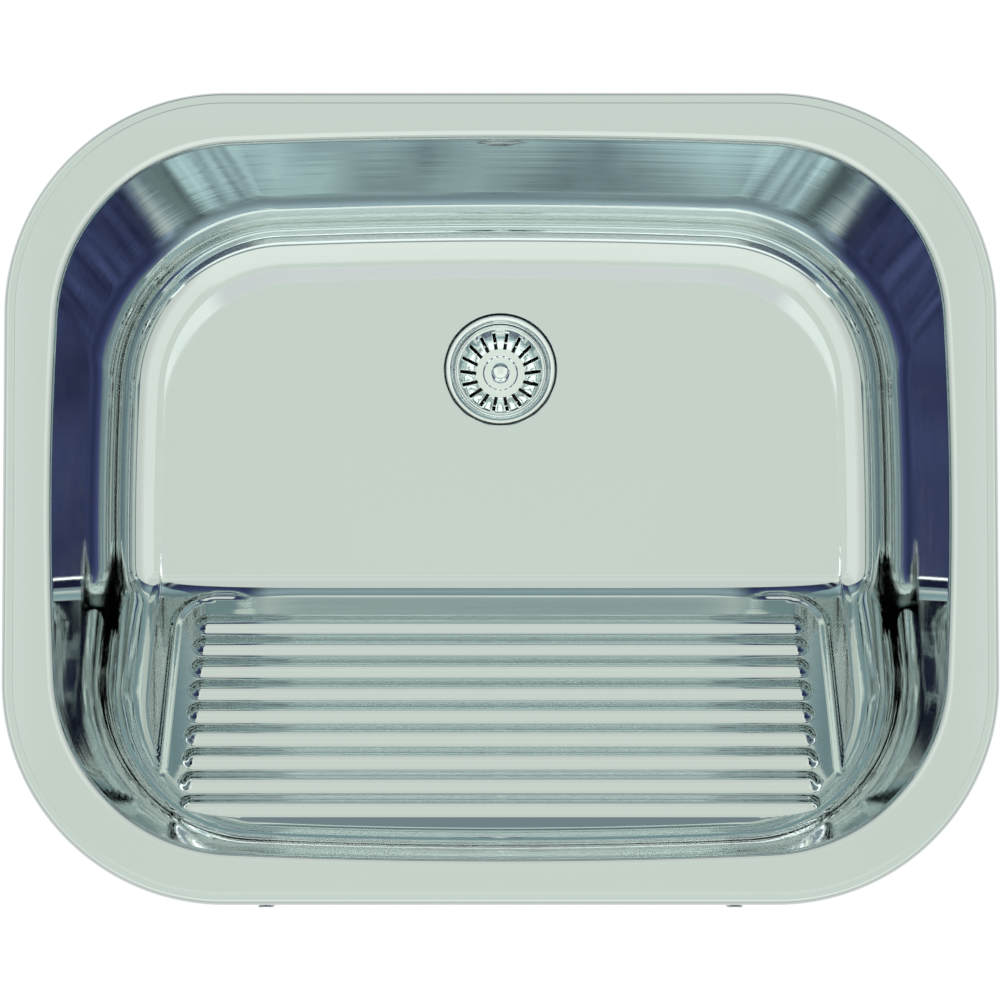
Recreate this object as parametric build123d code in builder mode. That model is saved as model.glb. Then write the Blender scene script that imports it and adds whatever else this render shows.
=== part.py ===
# Inset laundry sink of drawn stainless steel, with a ribbed washboard and a basket strainer waste.
# Millimetres. Z is up, the front of the sink (the washboard side) is at -Y.
# The origin is the centre of the worktop cut-out, on the worktop's upper face.
import os
from math import acos, cos, degrees, radians, sin, sqrt, tan

from build123d import *

os.makedirs("parts", exist_ok=True)

# Sheet and rim
sheet = 0.8
rim_length = 550.0
rim_width = 450.0
rim_corner_radius = 123.0
rim_height = 7.0
rim_edge_radius = 5.0

# Flat bands of the rim between its outer edge and the opening
side_band = 22.2
front_band = 21.1

# Opening and bowl, measured on the upper or inner face of the sheet
opening_length = rim_length - 2 * side_band
opening_width = rim_width - 2 * front_band
opening_corner_radius = 105.0
side_bow_radius = 1900.0
front_bow_radius = 3460.0
opening_bend_radius = 5.0
bowl_depth = 220.0
wall_draft = 1.7
bottom_corner_radius = 106.0
floor_fillet = 25.0

# Washboard ramp and its ribs, placed from the opening's front and side edges
ramp_reach = 166.4
ramp_angle = 37.0
ramp_bend_radius = 50.0
rib_count = 9
rib_pitch = 17.4
first_rib = 31.9
rib_end_margin = 59.8
rib_crest_radius = 7.5
rib_height = 3.0
rib_root_radius = 6.0

# Outlet recess in the floor, placed from the opening's back edge
drain_reach = 102.4
outlet_hole_radius = 31.5
recess_depth = 2.4
recess_radius = 36.0
recess_lip_radius = 6.0
recess_root_radius = 4.0

# Rim seal and damping pad
seal_width = 8.0
seal_gap_to_edge = 4.4
pad_side_margin = 62.8
pad_back_margin = 18.0
pad_bend_margin = 4.7
pad_corner_radius = 20.0
pad_thickness = 3.0
pad_hole_gap = 3.0

# Drain cup
flange_radius = 34.75
cup_sheet = 1.0
cup_lip_radius = 2.5
cup_mouth_radius = 30.3
cup_wall_depth = 9.2
cup_ledge_width = 2.4
cup_seat_radius = 21.5
cup_depth = 25.0
window_inner_radius = 10.5
window_outer_radius = 18.0
window_spoke_width = 3.0
hub_dimple_radius = 8.6
hub_dimple_depth = 3.0
flange_seal_thickness = 1.0

# Waste body below the floor
body_seal_thickness = 2.5
body_seal_inset = 1.0
cup_side_gap = 0.7
body_flange_radius = 40.0
body_flange_thickness = 4.0
body_wall = 3.0
body_neck = 8.0
tail_radius = 23.9
tail_bore_radius = 20.2
tail_length = 30.0
body_length = 66.0
spider_rib_width = 3.0
spider_height = 12.0
hub_wall = 2.0

# Hollow centre screw and its insert
screw_head_radius = 7.4
screw_head_height = 2.4
screw_radius = 5.0
screw_bore_radius = 3.1
screw_slot_width = 1.6
screw_slot_depth = 1.2
insert_radius = 7.5

# Strainer basket
basket_sheet = 0.6
basket_bead_radius = 0.8
basket_clearance = 0.9
basket_lip_width = 2.0
basket_floor_drop = 19.2
basket_floor_radius = 16.2
basket_step_radius = 11.3
basket_step_height = 0.8
slot_count = 18
slot_width = 2.2
slot_inner_radius = 15.6
slot_outer_radius = 26.0
knob_radius = 5.2
knob_height = 13.4
knob_neck_radius = 3.2
knob_foot_radius = 6.0
knob_foot_height = 1.2
knob_head_height = 6.0
knob_edge_radius = 1.5
knob_bore_depth = 6.0
stem_radius = 2.5
stem_below_floor = 18.0
backing_radius = 10.0
backing_thickness = 1.0
stopper_hub_radius = 8.0
stopper_radius = 20.0
stopper_lip = 1.5
push_nut_radius = 5.0
push_nut_thickness = 0.8
snap_ring_width = 0.5
snap_ring_height = 0.6
snap_ring_sink = 0.1
snap_ring_drop = 13.5

# Fixing clips
clip_corner_margin = 15.8
jaw_length = 23.0
worktop_thickness = 30.0
clip_axis_offset = 9.0
bracket_sheet = 1.5
bracket_width = 30.0
bracket_top = 14.0
bracket_height = 44.0
bracket_projection = 15.0
shelf_thickness = 2.0
weld_nut_size = 10.0
weld_nut_height = 5.0
clip_screw_radius = 3.0
clip_screw_length = 40.0
clip_head_across = 10.0
clip_head_height = 4.0
clip_head_slot = 1.6
clip_washer_radius = 6.4
clip_washer_thickness = 1.2
jaw_hub_radius = 6.5
jaw_tip_width = 8.0
jaw_thickness = 2.0
jaw_rise = 10.0
jaw_notch = 3.0

# Fits
running_clearance = 0.05
free_gap = 0.3
stop_gap = 0.5

# Heights and lines that the pieces share
rim_top = rim_height
rim_under = rim_top - sheet
floor_z = rim_top - bowl_depth
floor_under = floor_z - sheet
slope = radians(ramp_angle)
ramp_start = opening_width / 2 - ramp_reach
drain_y = opening_width / 2 - drain_reach
clip_x = opening_length / 2 - opening_corner_radius - clip_corner_margin
rib_reach = rib_crest_radius + rib_root_radius
rib_foot_half = sqrt(rib_reach**2 - (rib_reach - rib_height) ** 2)
rib_axis_half = opening_length / 2 - rib_end_margin - rib_foot_half
recess_turn = acos(1 - recess_depth / (recess_lip_radius + recess_root_radius))
drain_plane = Plane(origin=(0, drain_y, floor_z), x_dir=(1, 0, 0), z_dir=(0, -1, 0))
drain_axis = Axis((0, drain_y, floor_z), (0, 0, 1))


def bowed_outline(length, width, corner, grow):
    """Face of a rectangle with slightly bowed sides and large round corners."""
    half_x = length / 2 + grow
    half_y = width / 2 + grow
    side_r = side_bow_radius + grow
    front_r = front_bow_radius + grow
    with BuildSketch() as outline:
        with Locations((half_x - side_r, 0)):
            Circle(side_r)
        with Locations((side_r - half_x, 0)):
            Circle(side_r, mode=Mode.INTERSECT)
        with Locations((0, half_y - front_r)):
            Circle(front_r, mode=Mode.INTERSECT)
        with Locations((0, front_r - half_y)):
            Circle(front_r, mode=Mode.INTERSECT)
        fillet(outline.vertices(), corner + grow)
    return outline.sketch


def wall_form(grow):
    """Space inside the bowl's walls, before the ramp and the fillets, larger all round by grow."""
    inset = 2 * opening_bend_radius
    draft_inset = 2 * bowl_depth * tan(radians(wall_draft))
    top_corner = opening_corner_radius - opening_bend_radius
    with BuildPart() as form:
        with BuildSketch(Plane.XY.offset(rim_top)):
            add(bowed_outline(opening_length - inset, opening_width - inset, top_corner, grow))
        with BuildSketch(Plane.XY.offset(floor_z - grow)):
            add(bowed_outline(opening_length - inset - draft_inset, opening_width - inset - draft_inset,
                              bottom_corner_radius, grow))
        loft(ruled=True)
    return form.part


def outer_edges(faces):
    """Edges of a group of faces that no two of them share."""
    edges = [edge for face in faces for edge in face.edges()]
    return [edge for edge in edges if sum(edge.is_same(other) for other in edges) == 1]


def on_ramp(faces):
    """The flat face of the ramp."""
    flat = faces.filter_by(GeomType.PLANE)
    return flat.filter_by(lambda face: abs(abs(face.normal_at().Z) - cos(slope)) < 0.001)[0]


def near(shapes, *points):
    """The shape nearest to each point."""
    return [shapes.sort_by_distance(point)[0] for point in points]


def rib_centres():
    """Centres of the ribs' round crests, which lie below the ramp's upper face."""
    sunk = rib_crest_radius - rib_height
    for index in range(rib_count):
        along = first_rib + index * rib_pitch
        y = -ramp_start - along * cos(slope) - sunk * sin(slope)
        z = floor_z + along * sin(slope) - sunk * cos(slope)
        yield (0, y, z)


def bowl_form(grow):
    """Space inside the bowl with ramp, fillets and ribs; grow gives the sheet's other face."""
    with BuildPart() as rib:
        with BuildSketch(Plane.XY):
            SlotOverall(2 * (rib_axis_half + rib_crest_radius - grow), 2 * (rib_crest_radius - grow))
            split(bisect_by=Plane.XZ)
        revolve(axis=Axis.X)
    with BuildPart() as form:
        add(wall_form(grow))
        with BuildSketch(Plane.YZ):
            with BuildLine():
                start = (-ramp_start - grow * tan(slope / 2), floor_z - grow)
                far = (start[0] - rim_width, start[1] + rim_width * tan(slope))
                Polyline(start, far, (far[0], start[1]), close=True)
            make_face()
        extrude(amount=rim_length, both=True, mode=Mode.SUBTRACT)
        fillet(form.edges().filter_by(GeomType.LINE).filter_by(Axis.X), ramp_bend_radius + grow)
        floor_face = form.faces().filter_by(Axis.Z).sort_by(Axis.Z)[0]
        bend_face = form.faces().filter_by(GeomType.CYLINDER).filter_by(
            lambda face: abs(face.radius - ramp_bend_radius - grow) < 0.01)[0]
        fillet(outer_edges([floor_face, bend_face, on_ramp(form.faces())]), floor_fillet + grow)
        with Locations(*rib_centres()):
            add(rib.part, mode=Mode.SUBTRACT)
        foot_edges = [edge for wire in on_ramp(form.faces()).inner_wires() for edge in wire.edges()]
        fillet(foot_edges, rib_root_radius + grow)
    return form.part


def rim_outline(inset):
    """Face of the rim's outer outline, moved in by inset."""
    with BuildSketch() as outline:
        RectangleRounded(rim_length - 2 * inset, rim_width - 2 * inset, rim_corner_radius - inset)
    return outline.sketch


# Bowl: rim, walls, floor, ramp and outlet recess are one drawn sheet of stainless steel
inside = bowl_form(0)
outside = bowl_form(sheet)

# Hollow under the rim, up to the bowl's outer wall
with BuildPart() as under_rim:
    with BuildSketch():
        add(rim_outline(sheet))
    extrude(amount=rim_under)
    fillet(under_rim.faces().sort_by(Axis.Z)[-1].edges(), rim_edge_radius - sheet)
    add(outside, mode=Mode.SUBTRACT)
    top_face = under_rim.faces().sort_by(Axis.Z)[-1]
    fillet(top_face.inner_wires()[0].edges(), opening_bend_radius - sheet)

# Recess round the outlet: a ring of sheet with two gentle bends
with BuildPart() as drain_seat:
    with BuildSketch(drain_plane):
        with BuildLine():
            flat = Line((outlet_hole_radius, -recess_depth), (recess_radius, -recess_depth))
            root_bend = JernArc(flat @ 1, (1, 0), recess_root_radius, degrees(recess_turn))
            lip_bend = JernArc(root_bend @ 1, root_bend % 1, recess_lip_radius, -degrees(recess_turn))
            edge = Line(lip_bend @ 1, (lip_bend @ 1) + (recess_lip_radius, 0))
            offset(amount=sheet, side=Side.RIGHT)
        make_face()
    revolve(axis=drain_axis)
seat_radius = (edge @ 1).X

with BuildPart() as bowl:
    with BuildSketch():
        add(rim_outline(0))
    extrude(amount=rim_top)
    fillet(bowl.faces().sort_by(Axis.Z)[-1].edges(), rim_edge_radius)
    add(outside)
    add(under_rim.part, mode=Mode.SUBTRACT)
    add(inside, mode=Mode.SUBTRACT)
    fillet(bowl.faces().sort_by(Axis.Z)[-1].inner_wires()[0].edges(), opening_bend_radius)
    with Locations((0, drain_y, floor_z)):
        Cylinder(seat_radius, 2 * bowl_depth, mode=Mode.SUBTRACT)
    add(drain_seat.part)
bowl.part.label = "bowl"
export_step(bowl.part, "parts/bowl.step")

# Foam strip that seals the rim to the worktop
with BuildPart() as rim_seal:
    with BuildSketch():
        add(rim_outline(sheet + seal_gap_to_edge))
        add(rim_outline(sheet + seal_gap_to_edge + seal_width), mode=Mode.SUBTRACT)
    extrude(amount=rim_under)
rim_seal.part.label = "rim_seal"
export_step(rim_seal.part, "parts/rim_seal.step")

# Bitumen pad that deadens the floor, glued under it with a hole for the waste
pad_back = opening_width / 2 - opening_bend_radius - floor_fillet - pad_back_margin
pad_front = ramp_bend_radius * tan(slope / 2) - ramp_start + pad_bend_margin
pad_length = opening_length - 2 * pad_side_margin
with BuildPart() as damping_pad:
    with BuildSketch(Plane.XY.offset(floor_under)):
        with Locations((0, (pad_front + pad_back) / 2)):
            RectangleRounded(pad_length, pad_back - pad_front, pad_corner_radius)
        with Locations((0, drain_y)):
            Circle(seat_radius + pad_hole_gap, mode=Mode.SUBTRACT)
    extrude(amount=-pad_thickness)
damping_pad.part.label = "damping_pad"
export_step(damping_pad.part, "parts/damping_pad.step")

# Drain cup: flange, wall, ledge for the basket, conical seat and a bottom with four windows
flange_under = flange_seal_thickness - recess_depth
cup_top = flange_under + cup_sheet
ledge_drop = cup_top - cup_wall_depth
ledge_radius = cup_mouth_radius - cup_ledge_width
cup_bottom = -cup_depth
dimple_bottom = cup_bottom - hub_dimple_depth
hub_hole_radius = screw_radius + running_clearance
with BuildPart() as drain_cup:
    with BuildSketch(drain_plane) as cup_profile:
        with BuildLine():
            Polyline(
                (flange_radius, cup_top),
                (cup_mouth_radius, cup_top),
                (cup_mouth_radius, ledge_drop),
                (ledge_radius, ledge_drop),
                (cup_seat_radius, cup_bottom),
                (hub_dimple_radius, cup_bottom),
                (hub_dimple_radius, dimple_bottom),
                (hub_hole_radius, dimple_bottom),
            )
            offset(amount=cup_sheet, side=Side.LEFT, kind=Kind.INTERSECTION)
        make_face()
        lip = near(cup_profile.vertices(), (cup_mouth_radius, cup_top))
        fillet(lip, cup_lip_radius)
        lip_under = (cup_mouth_radius + cup_sheet, flange_under)
        fillet(near(cup_profile.vertices(), lip_under), cup_lip_radius - cup_sheet)
    revolve(axis=drain_axis)
    with BuildSketch(Plane.XY.offset(floor_z + cup_bottom)):
        with Locations((0, drain_y)):
            Circle(window_outer_radius)
            Circle(window_inner_radius, mode=Mode.SUBTRACT)
            Rectangle(3 * window_outer_radius, window_spoke_width, mode=Mode.SUBTRACT)
            Rectangle(window_spoke_width, 3 * window_outer_radius, mode=Mode.SUBTRACT)
    extrude(amount=-2 * cup_sheet, mode=Mode.SUBTRACT)
drain_cup.part.label = "drain_cup"
export_step(drain_cup.part, "parts/drain_cup.step")

# Rubber ring between the cup's flange and the recess
with BuildPart() as flange_seal:
    with BuildSketch(Plane.XY.offset(floor_z + flange_under)):
        with Locations((0, drain_y)):
            Circle(flange_radius)
            Circle(cup_mouth_radius + cup_lip_radius, mode=Mode.SUBTRACT)
    extrude(amount=-flange_seal_thickness)
flange_seal.part.label = "flange_seal"
export_step(flange_seal.part, "parts/flange_seal.step")

# Thick rubber ring between the recess and the waste body
recess_under = -recess_depth - sheet
body_top = recess_under - body_seal_thickness
body_bore_radius = cup_mouth_radius + cup_sheet + cup_side_gap
with BuildPart() as body_seal:
    with BuildSketch(Plane.XY.offset(floor_z + recess_under)):
        with Locations((0, drain_y)):
            Circle(body_flange_radius - body_seal_inset)
            Circle(body_bore_radius, mode=Mode.SUBTRACT)
    extrude(amount=-body_seal_thickness)
body_seal.part.label = "body_seal"
export_step(body_seal.part, "parts/body_seal.step")

# Waste body: flange, funnel and threaded tail, with a four-legged spider that carries the hub
hub_top = dimple_bottom - cup_sheet
hub_bottom = hub_top - spider_height
funnel_top = body_top - body_neck
body_bottom = -body_length
tail_top = body_bottom + tail_length
with BuildPart() as passage:
    with BuildSketch(drain_plane):
        with BuildLine():
            Polyline(
                (0, body_top),
                (body_bore_radius, body_top),
                (body_bore_radius, funnel_top),
                (tail_bore_radius, tail_top),
                (tail_bore_radius, body_bottom),
                (0, body_bottom),
                close=True,
            )
        make_face()
    revolve(axis=drain_axis)
    with BuildSketch(Plane.XY.offset(floor_z + hub_top)):
        with Locations((0, drain_y)):
            Circle(insert_radius + hub_wall)
            Rectangle(2 * body_bore_radius, spider_rib_width)
            Rectangle(spider_rib_width, 2 * body_bore_radius)
    extrude(amount=-spider_height, mode=Mode.SUBTRACT)
with BuildPart() as waste_body:
    with BuildSketch(drain_plane):
        with BuildLine():
            Polyline(
                (0, body_top),
                (body_flange_radius, body_top),
                (body_flange_radius, body_top - body_flange_thickness),
                (body_bore_radius + body_wall, body_top - body_flange_thickness),
                (body_bore_radius + body_wall, funnel_top),
                (tail_radius, tail_top),
                (tail_radius, body_bottom),
                (0, body_bottom),
                close=True,
            )
        make_face()
    revolve(axis=drain_axis)
    add(passage.part, mode=Mode.SUBTRACT)
    with BuildSketch(Plane.XY.offset(floor_z + hub_top)):
        with Locations((0, drain_y)):
            Circle(insert_radius)
    extrude(amount=-spider_height, mode=Mode.SUBTRACT)
waste_body.part.label = "waste_body"
export_step(waste_body.part, "parts/waste_body.step")

# Brass insert moulded into the hub, where the centre screw ends
with BuildPart() as threaded_insert:
    with BuildSketch(Plane.XY.offset(floor_z + hub_top)):
        with Locations((0, drain_y)):
            Circle(insert_radius)
            Circle(screw_radius + running_clearance, mode=Mode.SUBTRACT)
    extrude(amount=-spider_height)
threaded_insert.part.label = "threaded_insert"
export_step(threaded_insert.part, "parts/threaded_insert.step")

# Hollow centre screw that pulls the waste body up to the cup; the basket's stem slides in its bore
with BuildPart() as hollow_screw:
    with BuildSketch(drain_plane) as screw_profile:
        with BuildLine():
            Polyline(
                (screw_bore_radius, dimple_bottom + screw_head_height),
                (screw_head_radius, dimple_bottom + screw_head_height),
                (screw_head_radius, dimple_bottom),
                (screw_radius, dimple_bottom),
                (screw_radius, hub_bottom),
                (screw_bore_radius, hub_bottom),
                close=True,
            )
        make_face()
        head_corner = (screw_head_radius, dimple_bottom + screw_head_height)
        fillet(near(screw_profile.vertices(), head_corner), screw_head_height / 2)
    revolve(axis=drain_axis)
    with BuildSketch(Plane.XY.offset(floor_z + dimple_bottom + screw_head_height)):
        with Locations((0, drain_y)):
            Rectangle(2 * screw_head_radius, screw_slot_width)
    extrude(amount=-screw_slot_depth, mode=Mode.SUBTRACT)
hollow_screw.part.label = "hollow_screw"
export_step(hollow_screw.part, "parts/hollow_screw.step")

# Strainer basket: beaded lip, slotted cone and a floor with a raised middle
bead_middle = cup_mouth_radius - basket_clearance - basket_bead_radius
bead_height = ledge_drop + free_gap + basket_bead_radius
basket_floor = -basket_floor_drop
step_top = basket_floor + basket_step_height
with BuildPart() as basket_shell:
    with BuildSketch(drain_plane) as basket_profile:
        with BuildLine():
            Polyline(
                (bead_middle, bead_height),
                (bead_middle - basket_lip_width, bead_height),
                (basket_floor_radius, basket_floor),
                (basket_step_radius, basket_floor),
                (basket_step_radius - basket_step_height, step_top),
                (stem_radius, step_top),
            )
            offset(amount=basket_sheet, side=Side.LEFT, kind=Kind.INTERSECTION)
        make_face()
        with Locations((bead_middle, bead_height)):
            Circle(basket_bead_radius)
    revolve(axis=drain_axis)
    with BuildSketch(Plane.XY.offset(floor_z)):
        with Locations((0, drain_y)):
            with PolarLocations((slot_inner_radius + slot_outer_radius) / 2, slot_count):
                Rectangle(slot_outer_radius - slot_inner_radius, slot_width)
    extrude(amount=-cup_depth, mode=Mode.SUBTRACT)
basket_shell.part.label = "basket_shell"
export_step(basket_shell.part, "parts/basket_shell.step")

# Turned knob on the basket's floor, with a blind hole for the stem
knob_top = step_top + knob_height
with BuildPart() as basket_knob:
    with BuildSketch(drain_plane) as knob_profile:
        with BuildLine():
            Polyline(
                (0, step_top),
                (knob_foot_radius, step_top),
                (knob_foot_radius, step_top + knob_foot_height),
                (knob_neck_radius, step_top + knob_foot_height + knob_foot_height),
                (knob_radius, knob_top - knob_head_height),
                (knob_radius, knob_top),
                (0, knob_top),
                close=True,
            )
        make_face()
        fillet(near(knob_profile.vertices(), (knob_radius, knob_top)), knob_edge_radius)
    revolve(axis=drain_axis)
    with BuildSketch(Plane.XY.offset(floor_z + step_top)):
        with Locations((0, drain_y)):
            Circle(stem_radius)
    extrude(amount=knob_bore_depth, mode=Mode.SUBTRACT)
basket_knob.part.label = "basket_knob"
export_step(basket_knob.part, "parts/basket_knob.step")

# Stem with a groove for the snap ring
stem_tip = basket_floor - stem_below_floor
ring_height = basket_floor - snap_ring_drop
ring_bore_radius = stem_radius - snap_ring_sink
with BuildPart() as stem_snap_ring:
    with BuildSketch(Plane.XY.offset(floor_z + ring_height)):
        with Locations((0, drain_y)):
            Circle(ring_bore_radius + snap_ring_width)
            Circle(ring_bore_radius, mode=Mode.SUBTRACT)
    extrude(amount=snap_ring_height)
with BuildPart() as basket_stem:
    with BuildSketch(Plane.XY.offset(floor_z + stem_tip)):
        with Locations((0, drain_y)):
            Circle(stem_radius)
    extrude(amount=step_top + knob_bore_depth - stem_tip)
    chamfer(basket_stem.edges().sort_by(Axis.Z)[0], stem_radius / 3)
    add(stem_snap_ring.part, mode=Mode.SUBTRACT)
stem_snap_ring.part.label = "stem_snap_ring"
export_step(stem_snap_ring.part, "parts/stem_snap_ring.step")
basket_stem.part.label = "basket_stem"
export_step(basket_stem.part, "parts/basket_stem.step")

# Washer that backs the rubber stopper under the basket's floor
backing_top = step_top - basket_sheet
stopper_top = backing_top - backing_thickness
with BuildPart() as seal_backing_washer:
    with BuildSketch(Plane.XY.offset(floor_z + backing_top)):
        with Locations((0, drain_y)):
            Circle(backing_radius)
            Circle(stem_radius, mode=Mode.SUBTRACT)
    extrude(amount=-backing_thickness)
seal_backing_washer.part.label = "seal_backing_washer"
export_step(seal_backing_washer.part, "parts/seal_backing_washer.step")

# Rubber stopper that closes the cup's windows when the basket is pushed down
stopper_bottom = cup_bottom + free_gap
nut_top = stopper_bottom + push_nut_thickness + free_gap
with BuildPart() as stopper_seal:
    with BuildSketch(drain_plane):
        with BuildLine():
            Polyline(
                (stem_radius, stopper_top),
                (stopper_hub_radius, stopper_top),
                (stopper_hub_radius, stopper_bottom + 2 * stopper_lip),
                (stopper_radius, stopper_bottom + stopper_lip),
                (stopper_radius, stopper_bottom),
                (push_nut_radius + free_gap, stopper_bottom),
                (push_nut_radius + free_gap, nut_top),
                (stem_radius, nut_top),
                close=True,
            )
        make_face()
    revolve(axis=drain_axis)
stopper_seal.part.label = "stopper_seal"
export_step(stopper_seal.part, "parts/stopper_seal.step")

# Push nut that holds the stopper on the stem
with BuildPart() as push_nut:
    with BuildSketch(Plane.XY.offset(floor_z + nut_top)):
        with Locations((0, drain_y)):
            Circle(push_nut_radius)
            Circle(stem_radius, mode=Mode.SUBTRACT)
    extrude(amount=-push_nut_thickness)
push_nut.part.label = "push_nut"
export_step(push_nut.part, "parts/push_nut.step")


def clip_places():
    """Name and place of each clip: the point where its screw crosses the worktop's upper face, X outward."""
    wall_fall = (rim_top + bracket_top) * tan(radians(wall_draft))
    off_wall = clip_axis_offset + sheet - opening_bend_radius - wall_fall
    bow = front_bow_radius - sqrt(front_bow_radius**2 - clip_x**2)
    side = opening_length / 2 + off_wall
    front = opening_width / 2 + off_wall - bow
    yield "front_left", Location((-clip_x, -front, 0), (0, 0, -90))
    yield "front_right", Location((clip_x, -front, 0), (0, 0, -90))
    yield "back_left", Location((-clip_x, front, 0), (0, 0, 90))
    yield "back_right", Location((clip_x, front, 0), (0, 0, 90))
    yield "left", Location((-side, 0, 0), (0, 0, 180))
    yield "right", Location((side, 0, 0))


clips = dict(clip_places())
outer_wall = wall_form(sheet)

# Clip brackets welded to the walls: a pad that follows the wall, a shelf and a stop wing
shelf_reach = bracket_projection - clip_axis_offset
wing_side = jaw_hub_radius + stop_gap
to_wall = 2 * clip_axis_offset
hung = (Align.CENTER, Align.CENTER, Align.MAX)
hung_inward = (Align.MAX, Align.CENTER, Align.MAX)
hung_beside = (Align.MAX, Align.MIN, Align.MAX)
with BuildPart() as clip_brackets:
    with Locations(*clips.values()):
        with Locations((0, 0, -bracket_top)):
            Box(2 * to_wall, bracket_width, bracket_height, align=hung)
    add(wall_form(sheet + bracket_sheet), mode=Mode.INTERSECT)
    with Locations(*clips.values()):
        with Locations((shelf_reach, 0, -bracket_top)):
            Box(to_wall, bracket_width, shelf_thickness, align=hung_inward)
        with Locations((shelf_reach, wing_side, -bracket_top)):
            Box(to_wall, shelf_thickness, bracket_height, align=hung_beside)
        with Locations((0, 0, -bracket_top)):
            Cylinder(clip_screw_radius + running_clearance, 3 * shelf_thickness, mode=Mode.SUBTRACT)
    add(outer_wall, mode=Mode.SUBTRACT)
clip_brackets.part.label = "clip_brackets"
export_step(clip_brackets.part, "parts/clip_brackets.step")

# Square weld nuts under the shelves
with BuildPart() as clip_weld_nuts:
    with Locations(*clips.values()):
        with Locations((0, 0, -bracket_top - shelf_thickness)):
            Box(weld_nut_size, weld_nut_size, weld_nut_height, align=hung)
            Cylinder(clip_screw_radius + running_clearance, 3 * weld_nut_height, mode=Mode.SUBTRACT)
clip_weld_nuts.part.label = "clip_weld_nuts"
export_step(clip_weld_nuts.part, "parts/clip_weld_nuts.step")

# Moving pieces of each clip: slotted hexagon screw, washer and turning jaw
jaw_top = -worktop_thickness - jaw_rise
jaw_bottom = jaw_top - jaw_thickness
washer_bottom = jaw_bottom - clip_washer_thickness
with BuildPart() as clip_screw:
    with BuildSketch(Plane.XY.offset(washer_bottom)):
        Circle(clip_screw_radius)
    extrude(amount=clip_screw_length)
    chamfer(clip_screw.edges().sort_by(Axis.Z)[-1], clip_screw_radius / 4)
    with BuildSketch(Plane.XY.offset(washer_bottom)):
        RegularPolygon(clip_head_across / 2, 6, major_radius=False)
    extrude(amount=-clip_head_height)
    with Locations((0, 0, washer_bottom - clip_head_height)):
        Box(2 * clip_head_across, clip_head_slot, clip_head_height, mode=Mode.SUBTRACT)
with BuildPart() as clip_washer:
    with BuildSketch(Plane.XY.offset(jaw_bottom)):
        Circle(clip_washer_radius)
        Circle(clip_screw_radius + running_clearance, mode=Mode.SUBTRACT)
    extrude(amount=-clip_washer_thickness)

# Jaw: a plate that narrows to an upturned tip, which is notched to bite into the worktop
with BuildPart() as clip_jaw:
    with BuildSketch(Plane.XY.offset(jaw_bottom)):
        with BuildLine():
            Polyline(
                (0, jaw_hub_radius),
                (jaw_length, jaw_tip_width / 2),
                (jaw_length, -jaw_tip_width / 2),
                (0, -jaw_hub_radius),
            )
            RadiusArc((0, -jaw_hub_radius), (0, jaw_hub_radius), jaw_hub_radius)
        make_face()
    extrude(amount=jaw_thickness)
    with Locations((jaw_length, 0, jaw_top + jaw_rise)):
        Box(jaw_thickness, jaw_tip_width, jaw_thickness + jaw_rise, align=hung_inward)
    with BuildSketch(Plane.YZ):
        with Locations((0, jaw_top + jaw_rise)):
            RegularPolygon(jaw_notch, 4)
    extrude(amount=2 * jaw_length, mode=Mode.SUBTRACT)
    with Locations((0, 0, jaw_bottom)):
        Cylinder(clip_screw_radius + running_clearance, 3 * jaw_thickness, mode=Mode.SUBTRACT)

for place, location in clips.items():
    for piece_name, piece in (("screw", clip_screw), ("washer", clip_washer), ("jaw", clip_jaw)):
        placed = piece.part.moved(location)
        placed.label = f"clip_{piece_name}_{place}"
        export_step(placed, f"parts/clip_{piece_name}_{place}.step")
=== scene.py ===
from math import cos, pi, radians, sin, sqrt, tan

import bpy
import numpy as np
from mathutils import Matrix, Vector, geometry


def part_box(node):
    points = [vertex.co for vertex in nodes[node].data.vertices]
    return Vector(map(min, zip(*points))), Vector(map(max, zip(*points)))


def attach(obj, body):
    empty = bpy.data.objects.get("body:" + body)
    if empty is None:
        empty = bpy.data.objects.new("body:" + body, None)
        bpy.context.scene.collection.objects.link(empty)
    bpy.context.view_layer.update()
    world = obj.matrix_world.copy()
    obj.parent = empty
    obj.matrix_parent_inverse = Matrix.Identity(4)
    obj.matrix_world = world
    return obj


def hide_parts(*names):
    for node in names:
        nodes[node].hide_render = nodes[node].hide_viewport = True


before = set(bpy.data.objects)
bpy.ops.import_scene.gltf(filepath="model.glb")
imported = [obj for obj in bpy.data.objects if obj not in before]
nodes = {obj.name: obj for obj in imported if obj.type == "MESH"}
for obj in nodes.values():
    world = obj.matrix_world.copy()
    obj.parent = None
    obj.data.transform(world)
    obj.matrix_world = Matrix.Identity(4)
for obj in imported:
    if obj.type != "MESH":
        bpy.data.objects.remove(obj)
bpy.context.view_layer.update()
bpy.ops.object.select_all(action="DESELECT")
mm = 0.001
print("frame loaded")


# Colours and nodes

def toLinear(hexColor):
    channels = [int(hexColor[i:i + 2], 16) / 255 for i in (0, 2, 4)]
    linear = [c / 12.92 if c <= 0.04045 else ((c + 0.055) / 1.055) ** 2.4 for c in channels]
    return (*linear, 1.0)


def addNode(tree, kind, links=None, **settings):
    node = tree.nodes.new(kind)
    for name, value in settings.items():
        if name in node.bl_rna.properties:
            setattr(node, name, value)
        else:
            node.inputs[name.replace("_", " ")].default_value = value
    for name, source in (links or {}).items():
        tree.links.new(source, node.inputs[name])
    return node


def newMaterial(name):
    material = bpy.data.materials.new(name)
    material.use_nodes = True
    tree = material.node_tree
    return material, tree, tree.nodes["Principled BSDF"]


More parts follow.
